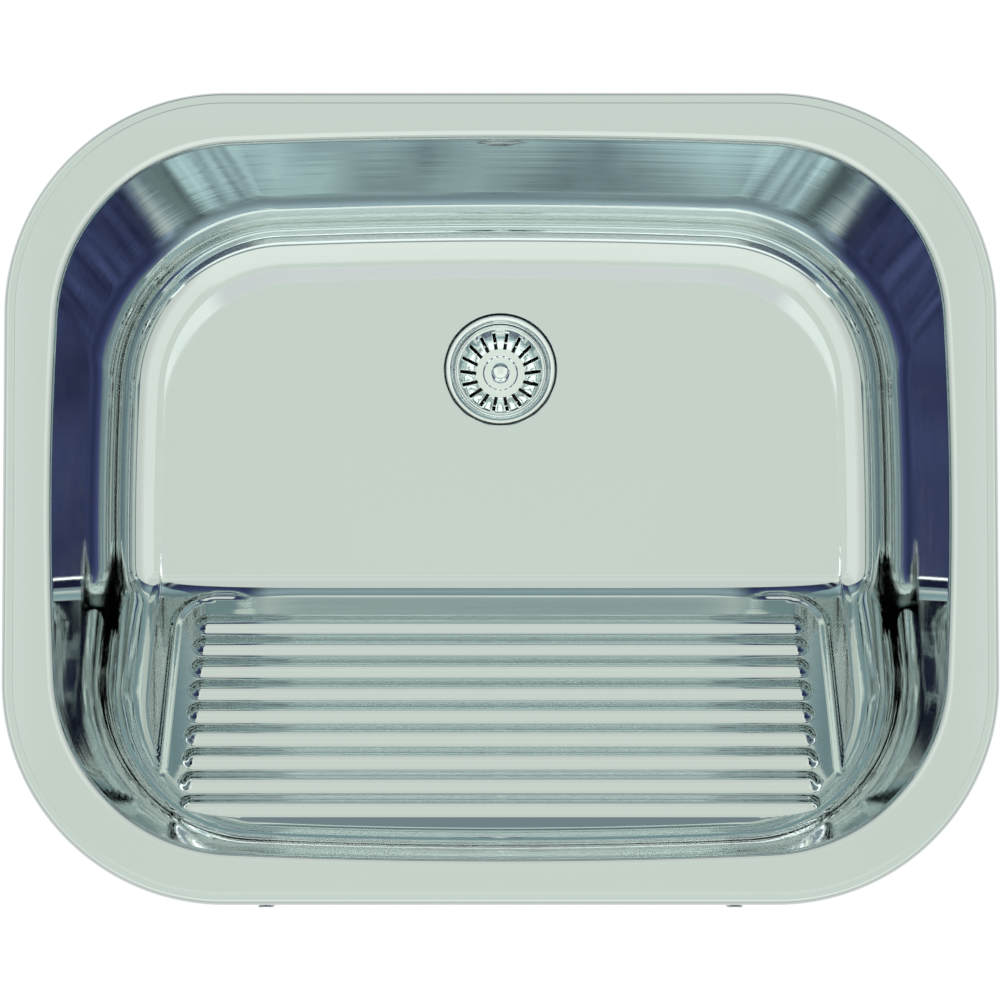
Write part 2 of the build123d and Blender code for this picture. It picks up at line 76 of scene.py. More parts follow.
# Polished stainless steel: a mirror in which the sheet's waves and the lines of the draw stay faintly
def polishedSteel(name, color, waveHeight, waveSize, drawnHeight):
    material, tree, shader = newMaterial(name)
    shader.inputs["Base Color"].default_value = toLinear(color)
    shader.inputs["Metallic"].default_value = 1.0
    place = addNode(tree, "ShaderNodeTexCoord")
    wave = addNode(tree, "ShaderNodeTexNoise", {"Vector": place.outputs["Object"]},
                   Scale=1 / (waveSize * mm), Detail=2.0, Roughness=0.45)
    bump = addNode(tree, "ShaderNodeBump", {"Height": wave.outputs[0]},
                   Strength=1.0, Distance=waveHeight * mm)
    drawn = addNode(tree, "ShaderNodeMapping", {"Vector": place.outputs["Object"]})
    drawn.inputs["Scale"].default_value = (1 / (400 * mm), 1 / (400 * mm), 1 / (9 * mm))   # long level lines
    lines = addNode(tree, "ShaderNodeTexNoise", {"Vector": drawn.outputs[0]}, Scale=1.0, Detail=3.0)
    bump = addNode(tree, "ShaderNodeBump", {"Height": lines.outputs[0], "Normal": bump.outputs[0]},
                   Strength=1.0, Distance=drawnHeight * mm)
    haze = addNode(tree, "ShaderNodeTexNoise", {"Vector": place.outputs["Object"]},
                   Scale=1 / (18 * mm), Detail=6.0)
    rough = addNode(tree, "ShaderNodeMapRange", {"Value": haze.outputs[0]},
                    **{"From_Min": 0.35, "From_Max": 0.7, "To_Min": 0.03, "To_Max": 0.06})
    tree.links.new(bump.outputs[0], shader.inputs["Normal"])
    tree.links.new(rough.outputs[0], shader.inputs["Roughness"])
    return material


# A metal or a plastic that was turned, moulded or sprayed: a colour that varies a little, its gloss and its
# fine relief, with the grain in millimetres and stretched along the object's axes
def plainMaterial(name, dark, light, metallic, rough, grain, relief, stretch=(1, 1, 1)):
    material, tree, shader = newMaterial(name)
    shader.inputs["Metallic"].default_value = metallic
    place = addNode(tree, "ShaderNodeTexCoord").outputs["Object"]
    spread = addNode(tree, "ShaderNodeMapping", {"Vector": place})
    spread.inputs["Scale"].default_value = tuple(part / (grain * mm) for part in stretch)
    fine = addNode(tree, "ShaderNodeTexNoise", {"Vector": spread.outputs[0]},
                   Scale=1.0, Detail=5.0, Roughness=0.6)
    broad = addNode(tree, "ShaderNodeTexNoise", {"Vector": place}, Scale=1 / (35 * mm), Detail=3.0)
    both = addNode(tree, "ShaderNodeMath", {0: fine.outputs[0], 1: broad.outputs[0]}, operation="ADD")
    half = addNode(tree, "ShaderNodeMath", {0: both.outputs[0]}, operation="MULTIPLY")
    half.inputs[1].default_value = 0.5
    color = addNode(tree, "ShaderNodeValToRGB", {0: half.outputs[0]})
    color.color_ramp.elements[0].position = 0.35
    color.color_ramp.elements[0].color = toLinear(dark)
    color.color_ramp.elements[1].position = 0.65
    color.color_ramp.elements[1].color = toLinear(light)
    gloss = addNode(tree, "ShaderNodeMapRange", {"Value": broad.outputs[0]},
                    **{"From_Min": 0.3, "From_Max": 0.7,
                       "To_Min": rough * 0.85, "To_Max": min(rough * 1.15, 1.0)})
    bump = addNode(tree, "ShaderNodeBump", {"Height": fine.outputs[0]}, Strength=1.0, Distance=relief * mm)
    tree.links.new(color.outputs[0], shader.inputs["Base Color"])
    tree.links.new(gloss.outputs[0], shader.inputs["Roughness"])
    tree.links.new(bump.outputs[0], shader.inputs["Normal"])
    return material


# Screw threads too fine to model: rounded crests along z at the pitch, between two heights
def cutThread(material, pitch, depth, low, high):
    tree = material.node_tree
    shader = tree.nodes["Principled BSDF"]
    under = shader.inputs["Normal"].links[0].from_socket
    place = addNode(tree, "ShaderNodeTexCoord").outputs["Object"]
    z = addNode(tree, "ShaderNodeSeparateXYZ", {0: place}).outputs[2]
    turns = addNode(tree, "ShaderNodeMath", {0: z}, operation="MULTIPLY")
    turns.inputs[1].default_value = 2 * pi / (pitch * mm)
    crest = addNode(tree, "ShaderNodeMath", {0: turns.outputs[0]}, operation="SINE")
    above = addNode(tree, "ShaderNodeMath", {0: z}, operation="GREATER_THAN")
    above.inputs[1].default_value = low * mm
    below = addNode(tree, "ShaderNodeMath", {0: z}, operation="LESS_THAN")
    below.inputs[1].default_value = high * mm
    part = addNode(tree, "ShaderNodeMath", {0: above.outputs[0], 1: below.outputs[0]}, operation="MULTIPLY")
    cut = addNode(tree, "ShaderNodeMath", {0: crest.outputs[0], 1: part.outputs[0]}, operation="MULTIPLY")
    bump = addNode(tree, "ShaderNodeBump", {"Height": cut.outputs[0], "Normal": under}, Strength=1.0,
                   Distance=depth * mm / 2)
    tree.links.new(bump.outputs[0], shader.inputs["Normal"])


# Stainless sheet, deep drawn and buffed on wheels: a mirror with slow waves and level draw lines
bowlSteel = polishedSteel("polished_stainless_steel", "C6CDCA", waveHeight=0.01, waveSize=60,
                          drawnHeight=0.05)
# Thinner stainless, pressed and polished bright in a bath, with small dents from the press
drainSteel = polishedSteel("pressed_stainless_steel", "D8DEDB", waveHeight=0.004, waveSize=9,
                           drawnHeight=0.0)
# Stainless bar turned on a lathe: fine rings round the stem, brighter than the sheet
turnedSteel = plainMaterial("turned_stainless_steel", "A9AEAF", "C9CDCD", 1.0, 0.22, 2.2, 0.006,
                            (0.4, 0.4, 6))
# Closed-cell foam strip: dark grey, soft and pricked with small cells
foam = plainMaterial("closed_cell_foam", "202022", "343438", 0.0, 0.92, 1.2, 0.16)
# Sprayed bitumen: nearly black and matt, with the crumbs of a thick coat
bitumen = plainMaterial("sprayed_bitumen", "141414", "262524", 0.0, 0.86, 2.4, 0.45)
# Moulded rubber: black with a dull sheen
rubber = plainMaterial("moulded_rubber", "0E0E0F", "1B1B1D", 0.0, 0.58, 1.4, 0.02)
# Moulded polypropylene: off-white and a little waxy, with the tail's pipe thread cut in the mould
wastePlastic = plainMaterial("moulded_polypropylene", "D2D1C8", "E4E3DB", 0.0, 0.38, 3.0, 0.012)
cutThread(wastePlastic, pitch=2.309, depth=1.1, low=-279.5, high=-250.5)
# Brass turned from bar: yellow with fine rings
brass = plainMaterial("turned_brass", "A98442", "CDA860", 1.0, 0.25, 1.8, 0.006, (0.4, 0.4, 6))
# Steel strip with a zinc plating: bluish grey, mottled by the bath
zincPlate = plainMaterial("zinc_plated_steel", "8E9499", "B9BDBF", 1.0, 0.36, 2.6, 0.01)
# The same plating on the clips' screws, with their 1 mm thread
zincThread = plainMaterial("zinc_plated_screw_thread", "8E9499", "B4B8BA", 1.0, 0.34, 2.6, 0.004)
cutThread(zincThread, pitch=1.0, depth=0.6, low=-120.0, high=-17.0)
print("materials made")


# Bowl

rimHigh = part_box("bowl")[1]
bowl = {                                   # millimetres, as the real sheet is drawn
    "halfLength": rimHigh.x / mm, "halfWidth": rimHigh.y / mm, "top": rimHigh.z / mm,
    "sheet": 0.8, "edgeRadius": 5.0, "lipWidth": 3.3, "rimCorner": 123.0,
    "grooveStops": [0.5, 1.4, 2.4, 2.9, 3.1, 3.4, 3.65, 3.9],      # inwards from the turned-down edge
    "grooveLean": [9, 9, 9, 0, -24, -34, -24, 0],                  # degrees that the sheet leans there
    "sideBand": 22.2, "frontBand": 21.1, "bend": 5.0,
    "topCorner": 100.0, "bottomCorner": 106.0, "sideBow": 1900.0, "frontBow": 3460.0,
    "depth": 220.0, "draft": radians(1.7), "fillet": 25.0,
    "rampReach": 166.4, "slope": radians(37), "rampBend": 30.0,
    "ribs": 9, "ribPitch": 17.4, "firstRib": 31.9, "ribMargin": 59.8,
    "crest": 7.5, "ribHeight": 3.0, "root": 6.0, "ribBlend": 2.5,  # blend: higher joins the fillet sharper
    "drainReach": 102.4, "hole": 31.5, "recess": 2.4, "recessFlat": 34.9, "recessRoot": 0.4, "recessLip": 1.0,
    "recessFall": radians(66),
    "frameHalf": 204.6, "frameLow": 8.0, "frameHigh": 187.0, "frameCorner": 26.0,
    "frameWidth": 8.0, "frameHeight": 0.9, "frameStart": 158.0, "frameRunIn": 14.0,
}
outline = {                                # points along a quarter of the outline, and where its arcs meet
    "side": 20, "corner": 60, "front": 26, "sideEnd": 0.052, "frontEnd": pi / 2 - 0.0415, "offAxis": 0.0008,
}
lattice = {                                # millimetres between and round the points of floor and ramp
    "rowsPerRib": 14, "rowsBelow": 12, "rowsAbove": 8, "rowGap": 0.55, "lastRow": -188,
    "bendRows": (-52, -16, 22), "floorRows": (-9, 168, 26),
    "columns": [(0, 150, 14), (155, 170, 6), (172, 211, 33), (213, 218, 3)],
    "closeColumns": (98, 171, 2.6), "closeFrom": -156, "offLoop": 1.1, "offDrain": 2.5, "rowLink": 13,
    "drainSteps": 96, "rampTop": -60, "rampHalf": 210, "rampUpright": 0.15,
}
openingX = bowl["halfLength"] - bowl["sideBand"]
openingY = bowl["halfWidth"] - bowl["frontBand"]
floorZ = bowl["top"] - bowl["depth"]
rampStart = openingY - bowl["rampReach"]
drainY = openingY - bowl["drainReach"]
slope = bowl["slope"]
draft = bowl["draft"]


# Points of a bowed outline by the direction they face
def bowedPoints(theta, halfX, halfY, corner):
    sideR = bowl["sideBow"]
    frontR = bowl["frontBow"]
    cx = halfX - corner
    cy = halfY - corner
    for step in range(12):
        cx = halfX - sideR + np.sqrt((sideR - corner) ** 2 - cy ** 2)
        cy = halfY - frontR + np.sqrt((frontR - corner) ** 2 - cx ** 2)
    facing = np.arctan2(abs(np.sin(theta)), abs(np.cos(theta)))
    c = np.cos(facing)
    s = np.sin(facing)
    onSide = facing < np.arctan2(cy, cx - halfX + sideR)
    onFront = facing > np.arctan2(cy - halfY + frontR, cx)
    x = np.where(onSide, halfX - sideR + sideR * c, np.where(onFront, frontR * c, cx + corner * c))
    y = np.where(onSide, sideR * s, np.where(onFront, halfY - frontR + frontR * s, cy + corner * s))
    return x * np.sign(np.cos(theta)), y * np.sign(np.sin(theta))


# Points on the drafted wall at heights z
def wallPoints(theta, z):
    down = bowl["top"] - z
    fall = down * tan(draft)
    corner = bowl["topCorner"] + (bowl["bottomCorner"] - bowl["topCorner"]) * down / bowl["depth"]
    return bowedPoints(theta, openingX - bowl["bend"] - fall, openingY - bowl["bend"] - fall, corner)


# Points of the rim's outline and the directions they face, spread as the opening's points are
def rimPoints(theta, inset):
    corner = bowl["rimCorner"] - inset
    straightX = bowl["halfLength"] - bowl["rimCorner"]
    straightY = bowl["halfWidth"] - bowl["rimCorner"]
    facing = np.arctan2(abs(np.sin(theta)), abs(np.cos(theta)))
    sideEnd = outline["sideEnd"]
    frontEnd = outline["frontEnd"]
    t = np.clip((facing - sideEnd) / (frontEnd - sideEnd), 0, 1) * pi / 2
    x = straightX * np.clip((pi / 2 - facing) / (pi / 2 - frontEnd), 0, 1) + corner * np.cos(t)
    y = straightY * np.clip(facing / sideEnd, 0, 1) + corner * np.sin(t)
    signX = np.sign(np.cos(theta))
    signY = np.sign(np.sin(theta))
    return x * signX, y * signY, np.cos(t) * signX, np.sin(t) * signY


# Height of the floor, bend and ramp at y, and the normal's parts along y and z
def floorLine(y, offset=0.0):
    radius = bowl["rampBend"] - offset
    start = bowl["rampBend"] * tan(slope / 2) - rampStart
    end = start - radius * sin(slope)
    along = np.clip(start - y, 0, start - end)
    arc = floorZ + bowl["rampBend"] - np.sqrt(radius ** 2 - along ** 2)
    z = arc + np.maximum(end - y, 0) * tan(slope)
    lean = along / radius
    return z, lean, np.sqrt(1 - lean ** 2)


# Low bead round the ribs, a rounded rectangle on the ramp: its height, and its slopes along x and uphill
def frameField(x, along):
    corner = bowl["frameCorner"]
    middle = (bowl["frameLow"] + bowl["frameHigh"]) / 2
    px = abs(x) - bowl["frameHalf"] + corner
    pu = abs(along - middle) - (bowl["frameHigh"] - bowl["frameLow"]) / 2 + corner
    pastX = np.maximum(px, 0)
    pastU = np.maximum(pu, 0)
    reach = np.hypot(pastX, pastU) + 1e-9
    straight = (px < 0) | (pu < 0)
    d = np.where(straight, np.maximum(px, pu), reach) - corner
    toX = np.where(straight, px > pu, pastX / reach) * np.sign(x)
    toU = np.where(straight, px <= pu, pastU / reach) * np.sign(along - middle)
    half = bowl["frameWidth"] / 2
    shown = np.clip((abs(x) - bowl["frameStart"]) / bowl["frameRunIn"], 0, 1)      # it runs out to the middle
    size = bowl["frameHeight"] * shown * shown * (3 - 2 * shown) * (abs(d) < half)
    fall = -size * pi / (2 * half) * np.sin(pi * d / half)
    return size * np.cos(pi * d / (2 * half)) ** 2, fall * toX, fall * toU


# Height of the ribs over the ramp, and their slopes along x and uphill
def ribField(x, y, z):
    along = (-rampStart - y) * cos(slope) + (z - floorZ) * sin(slope)
    crest = bowl["crest"]
    root = bowl["root"]
    reach = crest + root
    foot = sqrt(reach ** 2 - (reach - bowl["ribHeight"]) ** 2)
    halfAxis = openingX - bowl["ribMargin"] - foot
    index = np.clip(np.round((along - bowl["firstRib"]) / bowl["ribPitch"]), 0, bowl["ribs"] - 1)
    du = along - bowl["firstRib"] - index * bowl["ribPitch"]
    dx = np.sign(x) * np.maximum(abs(x) - halfAxis, 0)
    d = np.sqrt(du ** 2 + dx ** 2) + 1e-9
    change = foot * crest / reach
    onCrest = d < change
    onRoot = (d >= change) & (d < foot)
    crestUp = np.sqrt(np.maximum(crest ** 2 - d ** 2, 1e-6))
    rootIn = np.sqrt(np.maximum(root ** 2 - (foot - d) ** 2, 1e-6))
    h = np.where(onCrest, bowl["ribHeight"] - crest + crestUp, np.where(onRoot, root - rootIn, 0))
    fall = np.where(onCrest, -d / crestUp, np.where(onRoot, -(foot - d) / rootIn, 0))
    frameH, frameX, frameU = frameField(x, along)
    higher = frameH > h
    return (np.where(higher, frameH, h), np.where(higher, frameX, fall * dx / d),
            np.where(higher, frameU, fall * du / d))


# Rings of the sheet's upper side, from the turned-down edge over the rim and down the wall to the floor
quarter = np.concatenate([
    np.linspace(outline["offAxis"], outline["sideEnd"], outline["side"] + 1),
    np.linspace(outline["sideEnd"], outline["frontEnd"], outline["corner"] + 1)[1:],
    np.linspace(outline["frontEnd"], pi / 2 - outline["offAxis"], outline["front"] + 1)[1:]])
theta = np.concatenate([quarter, pi - quarter[::-1], pi + quarter, 2 * pi - quarter[::-1]])
count = len(theta)
outX = np.cos(theta)
outY = np.sin(theta)

rings = []                                          # each ring: points, normals
faceX, faceY = rimPoints(theta, 0)[2:]
flat = np.zeros(count)
edge = [(0, 0, 0)]                                  # inset from the rim's outline, height, tilt of the normal
for a in np.linspace(0, pi / 2, 13):
    edge.append((bowl["lipWidth"] * (1 - cos(a)), bowl["top"] - bowl["edgeRadius"] * (1 - sin(a)),
                 np.arctan2(bowl["lipWidth"] * sin(a), bowl["edgeRadius"] * cos(a))))
lastStop = 0.0
lastLean = 0.0
z = bowl["top"]
for stop, degreesThere in zip(bowl["grooveStops"], bowl["grooveLean"]):
    leanThere = radians(degreesThere)
    z -= (stop - lastStop) * (tan(lastLean) + tan(leanThere)) / 2
    edge.append((bowl["lipWidth"] + stop, min(z, bowl["top"]), pi / 2 + leanThere))
    lastStop = stop
    lastLean = leanThere
for inset, z, a in edge:
    x, y = rimPoints(theta, inset)[:2]
    rings.append((np.stack([x, y, flat + z], 1),
                  np.stack([faceX * cos(a), faceY * cos(a), flat + sin(a)], 1)))

bendZ = bowl["top"] - bowl["bend"] + bowl["bend"] * sin(draft)
x, y = wallPoints(theta, bendZ)
wallNormal = np.stack([-outX * cos(draft), -outY * cos(draft), flat + sin(draft)], 1)
bendCentre = np.stack([x, y, flat + bendZ], 1) - bowl["bend"] * wallNormal
for a in np.linspace(0, 1, 9):                      # opening bend, from the flat rim round to the wall
    angle = a * (pi / 2 - draft)
    n = np.stack([-outX * sin(angle), -outY * sin(angle), flat + cos(angle)], 1)
    rings.append((bendCentre + bowl["bend"] * n, n))

z = flat + floorZ + bowl["fillet"]
for step in range(40):                              # height of the wall where the floor fillet starts
    x, y = wallPoints(theta, z)
    centreY = y + bowl["fillet"] * wallNormal[:, 1]
    z = floorLine(centreY, bowl["fillet"])[0] - bowl["fillet"] * sin(draft)
footZ = z
for a in np.linspace(0, 1, 7)[1:-1]:
    z = bendZ + (footZ - bendZ) * a
    x, y = wallPoints(theta, z)
    rings.append((np.stack([x, y, z], 1), wallNormal))
x, y = wallPoints(theta, footZ)
foot = np.stack([x, y, footZ], 1)
filletCentre = foot + bowl["fillet"] * wallNormal
lean, upright = floorLine(filletCentre[:, 1], bowl["fillet"])[1:]
floorNormal = np.stack([flat, lean, upright], 1)
spread = np.arccos(np.clip((wallNormal * floorNormal).sum(1), -1, 1))[:, None]
for a in np.linspace(0, 1, 17):
    n = (np.sin((1 - a) * spread) * wallNormal + np.sin(a * spread) * floorNormal) / np.sin(spread)
    rings.append((filletCentre - bowl["fillet"] * n, n))

print("bowl rings", len(rings), "of", count)

ringPoints = np.concatenate([r[0] for r in rings])
ringNormals = np.concatenate([r[1] for r in rings])
edgeLoop = rings[-1][0]


def ringFaces(first, rows):
    faces = []
    for row in range(rows - 1):
        for i in range(count):
            j = (i + 1) % count
            a = first + row * count
            b = a + count
            faces.append((a + i, a + j, b + j, b + i))
    return faces


faces = ringFaces(0, len(rings))

# Recess round the outlet, from the hole outwards
recessDepth = bowl["recess"]
rootR = bowl["recessRoot"]
lipR = bowl["recessLip"]
wallFall = bowl["recessFall"]
profile = [(bowl["hole"], -recessDepth, 0.0), (bowl["recessFlat"], -recessDepth, 0.0)]
for a in np.linspace(0, wallFall, 6)[1:]:
    profile.append((bowl["recessFlat"] + rootR * sin(a), -recessDepth + rootR * (1 - cos(a)), a))
wallEnd = (recessDepth - (rootR + lipR) * (1 - cos(wallFall))) / tan(wallFall) + profile[-1][0]
recessEnd = wallEnd + lipR * sin(wallFall)
for a in np.linspace(wallFall, 0, 10):
    profile.append((recessEnd - lipR * sin(a), -lipR * (1 - cos(a)), a))
drainSteps = lattice["drainSteps"]
around = np.arange(drainSteps) * 2 * pi / drainSteps
level = np.ones(drainSteps)
drainPoints = []
drainNormals = []
for r, z, a in profile:
    drainPoints.append(np.stack([r * np.cos(around), drainY + r * np.sin(around), (floorZ + z) * level], 1))
    drainNormals.append(np.stack([-sin(a) * np.cos(around), -sin(a) * np.sin(around), cos(a) * level], 1))
drainFirst = len(ringPoints)
for row in range(len(profile) - 1):
    for i in range(drainSteps):
        j = (i + 1) % drainSteps
        a = drainFirst + row * drainSteps
        b = a + drainSteps
        faces.append((a + j, a + i, b + i, b + j))
points = np.concatenate([ringPoints] + drainPoints)
normals = np.concatenate([ringNormals] + drainNormals)

# Floor, bend and ramp: a lattice with close rows over the ribs, joined to the loop and the recess
perRib = lattice["rowsPerRib"]
rampSteps = np.arange(-lattice["rowsBelow"], bowl["ribs"] * perRib + lattice["rowsAbove"])
rampRows = bowl["firstRib"] + bowl["ribPitch"] * (rampSteps / perRib - 0.5)
rowsY = np.concatenate([-rampStart - rampRows * cos(slope), np.linspace(*lattice["bendRows"]),
                        np.linspace(*lattice["floorRows"])])
rowsY = np.unique(np.round(rowsY[rowsY > lattice["lastRow"]], 3))
rowsY = rowsY[np.concatenate([[True], np.diff(rowsY) > lattice["rowGap"]])]
columnsX = np.concatenate([np.linspace(*span) for span in lattice["columns"]])
columnsX = np.concatenate([-columnsX[:0:-1], columnsX])
gridX, gridY = np.meshgrid(columnsX, rowsY)
closeX, closeY = np.meshgrid(np.arange(*lattice["closeColumns"]),                # where the edge runs aslant
                             rowsY[rowsY < lattice["closeFrom"]])
gridX = np.concatenate([gridX.ravel(), closeX.ravel(), -closeX.ravel()])
gridY = np.concatenate([gridY.ravel(), closeY.ravel(), closeY.ravel()])
loopX = edgeLoop[:, 0]
loopY = edgeLoop[:, 1]
nextX = np.roll(loopX, -1)
nextY = np.roll(loopY, -1)
inside = np.zeros(len(gridX), bool)
toLoop = np.full(len(gridX), 1e9)
for i in range(count):                               # crossings of each loop edge, and distance to it
    crosses = (loopY[i] > gridY) != (nextY[i] > gridY)
    run = nextY[i] - loopY[i]
    at = loopX[i] + (gridY - loopY[i]) * (nextX[i] - loopX[i]) / (run if abs(run) > 1e-9 else 1e-9)
    inside ^= crosses & (gridX < at)
    toLoop = np.minimum(toLoop, np.hypot(gridX - loopX[i], gridY - loopY[i]))
fromDrain = np.hypot(gridX, gridY - drainY)
chosen = inside & (toLoop > lattice["offLoop"]) & (fromDrain > recessEnd + lattice["offDrain"])
gridX = gridX[chosen]
gridY = gridY[chosen]
recessRim = drainPoints[-1]
flatPoints = [Vector((x, y)) for x, y in zip(np.concatenate([loopX, recessRim[:, 0], gridX]),
                                             np.concatenate([loopY, recessRim[:, 1], gridY]))]
loopEdges = [(i, (i + 1) % count) for i in range(count)]
drainEdges = [(count + i, count + (i + 1) % drainSteps) for i in range(drainSteps)]
rowEdges = []                                       # rows stay whole: no triangle runs across a rib's flank
order = np.lexsort((gridX, gridY))
for a, b in zip(order[:-1], order[1:]):
    if gridY[a] == gridY[b] and gridX[b] - gridX[a] < lattice["rowLink"]:
        rowEdges.append((count + drainSteps + int(a), count + drainSteps + int(b)))
made = geometry.delaunay_2d_cdt(flatPoints, loopEdges + drainEdges + rowEdges, [], 0, 1e-6)
madePoints, madeFaces, origins = made[0], made[2], made[3]
gridFirst = len(points)
lastRing = (len(rings) - 1) * count
lastDrain = drainFirst + (len(profile) - 1) * drainSteps
number = []
newPoints = []
for place, origin in zip(madePoints, origins):
    known = [o for o in origin if o < count + drainSteps]
    if known:
        number.append(lastRing + known[0] if known[0] < count else lastDrain + known[0] - count)
    else:
        number.append(gridFirst + len(newPoints))
        newPoints.append((place.x, place.y))
newPoints = np.array(newPoints)
z, lean, upright = floorLine(newPoints[:, 1])
points = np.concatenate([points, np.column_stack([newPoints, z])])
normals = np.concatenate([normals, np.column_stack([np.zeros(len(z)), lean, upright])])
for face in madeFaces:
    middle = sum((madePoints[i] for i in face), Vector((0, 0))) / len(face)
    if (middle - Vector((0, drainY))).length < recessEnd - 0.5:      # the outlet stays open
        continue
    ids = [number[i] for i in face]
    a, b, c = (madePoints[i] for i in face[:3])
    if (b - a).cross(c - a) < 0:
        ids.reverse()
    faces.append(tuple(ids))
print("bowl floor points", len(newPoints))

# Ribs lift the ramp, and blend into the fillet where they reach it
x, y, z = points.T
ribbed = (y < 0) & (z < lattice["rampTop"]) & (normals[:, 2] > lattice["rampUpright"])
ribbed &= abs(x) < lattice["rampHalf"]
above = np.maximum((z - floorZ) * cos(slope) - (-rampStart - y) * sin(slope), 0)     # over the ramp's plane
base = np.where(above < 0.004, 0, above)
rib, ribX, ribU = ribField(x, y, z)
ribbed &= rib > 0
power = bowl["ribBlend"]
top = (base ** power + rib ** power) ** (1 / power)
upHill = np.array([0, -cos(slope), sin(slope)])
upRamp = np.array([0, sin(slope), cos(slope)])
outward = np.maximum(normals @ upRamp, 0.05)
baseShare = np.where(top > 1e-6, np.maximum(base, 1e-9) / np.maximum(top, 1e-9), 0) ** (power - 1)
ribShare = np.where(top > 1e-6, rib / np.maximum(top, 1e-9), 0) ** (power - 1)
leanX = baseShare * normals[:, 0] / outward - ribShare * ribX
leanU = baseShare * (normals @ upHill) / outward - ribShare * ribU
ribNormals = leanX[:, None] * np.array([1, 0, 0]) + leanU[:, None] * upHill + upRamp
ribNormals /= np.linalg.norm(ribNormals, axis=1)[:, None]
points[ribbed] += (top - base)[ribbed, None] * upRamp
normals[ribbed] = ribNormals[ribbed]

# The sheet's lower side, and the edges that close it
lower = points - bowl["sheet"] * normals
total = len(points)
allFaces = list(faces) + [tuple(i + total for i in reversed(face)) for face in faces]
for i in range(count):
    j = (i + 1) % count
    allFaces.append((j, i, i + total, j + total))
for i in range(drainSteps):
    j = (i + 1) % drainSteps
    a = drainFirst + i
    b = drainFirst + j
    allFaces.append((a, b, b + total, a + total))
mesh = bpy.data.meshes.new("bowl_shell")
mesh.from_pydata(np.concatenate([points, lower]) * mm, [], allFaces)
mesh.validate()
mesh.polygons.foreach_set("use_smooth", [True] * len(mesh.polygons))
mesh.normals_split_custom_set_from_vertices(np.concatenate([normals, -normals]).tolist())
bowlShell = bpy.data.objects.new("bowl_shell", mesh)
bpy.context.scene.collection.objects.link(bowlShell)
mesh.materials.append(bowlSteel)
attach(bowlShell, "sink")
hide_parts("bowl")
print("bowl made", len(mesh.polygons))


# Drain: cup, basket and knob, turned about the waste's axis

drain = {                                  # millimetres from the floor down and from the waste's axis out
    "steps": 96, "flange": 34.7, "flangeTop": -0.4, "sheet": 1.0, "mouth": 30.3, "lip": 3.4,
    "ledge": -9.6, "ledgeRadius": 27.9, "seat": 21.5, "bottom": -25.0,
    "dimple": 8.6, "dimpleBottom": -28.0, "hub": 5.05,
    "windowIn": 10.5, "windowOut": 18.0, "spoke": 3.0, "softEdge": 0.45,
}
basket = {                                 # the same, with the knob's heights from the basket's floor up
    "sheet": 0.6, "bead": 0.8, "beadRadius": 29.1, "beadRoll": -pi - 0.72, "top": -8.5, "lip": 2.0,
    "floor": -19.2, "floorRadius": 16.2, "step": 11.3, "stepUp": 0.8, "stepOver": 0.25, "hole": 2.5,
    "slots": 18, "slotWidth": 2.2, "slotIn": 15.6, "slotOut": 26.0, "softEdge": 0.5,
    "knob": 5.2, "knobHeight": 13.4, "head": 6.0, "dome": 1.3, "neck": 3.2,
    "foot": 6.0, "footHeight": 1.2, "knobEdge": 0.35,
}


# A ring at the profile's first point, extruded to each point after it
def turnedPiece(name, profile, closed):
    r, z = profile[0]
    bpy.ops.mesh.primitive_circle_add(vertices=drain["steps"], radius=r * mm, fill_type="NOTHING",
                                      location=(0, drainY * mm, (floorZ + z) * mm))
    piece = bpy.context.object
    piece.name = name
    bpy.ops.object.editmode_toggle()
    bpy.ops.mesh.select_all(action="SELECT")
    for nextR, nextZ in profile[1:] + ([profile[0]] if closed else []):
        bpy.ops.mesh.extrude_edges_move(TRANSFORM_OT_translate={"value": (0, 0, (nextZ - z) * mm)})
        bpy.ops.transform.resize(value=(nextR / r, nextR / r, 1), center_override=(0, drainY * mm, 0))
        r = nextR
        z = nextZ
    if not closed:
        bpy.ops.mesh.edge_face_add()
    bpy.ops.mesh.select_all(action="SELECT")
    bpy.ops.mesh.remove_doubles(threshold=0.000004)
    bpy.ops.mesh.normals_make_consistent(inside=False)
    bpy.ops.object.editmode_toggle()
    bpy.ops.object.transform_apply(location=True, rotation=True, scale=True)
    return piece


def soften(piece, width):
    bpy.context.view_layer.objects.active = piece
    bevel = piece.modifiers.new("soft_edges", "BEVEL")
    bevel.width = width * mm
    bevel.segments = 3
    bevel.limit_method = "ANGLE"
    bevel.angle_limit = radians(40)
    bpy.ops.object.modifier_apply(modifier=bevel.name)


def cutWith(piece, cutter):
    bpy.context.view_layer.objects.active = piece
    cut = piece.modifiers.new("cut", "BOOLEAN")
    cut.operation = "DIFFERENCE"
    cut.solver = "EXACT"
    cut.object = cutter
    bpy.ops.object.modifier_apply(modifier=cut.name)
    bpy.data.objects.remove(cutter)


def finishPiece(piece, body, node, material, angle=35):
    bpy.ops.object.select_all(action="DESELECT")
    piece.select_set(True)
    bpy.context.view_layer.objects.active = piece
    bpy.ops.object.shade_smooth_by_angle(angle=radians(angle))
    piece.data.materials.clear()
    piece.data.materials.append(material)
    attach(piece, body)
    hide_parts(node)
    piece.select_set(False)


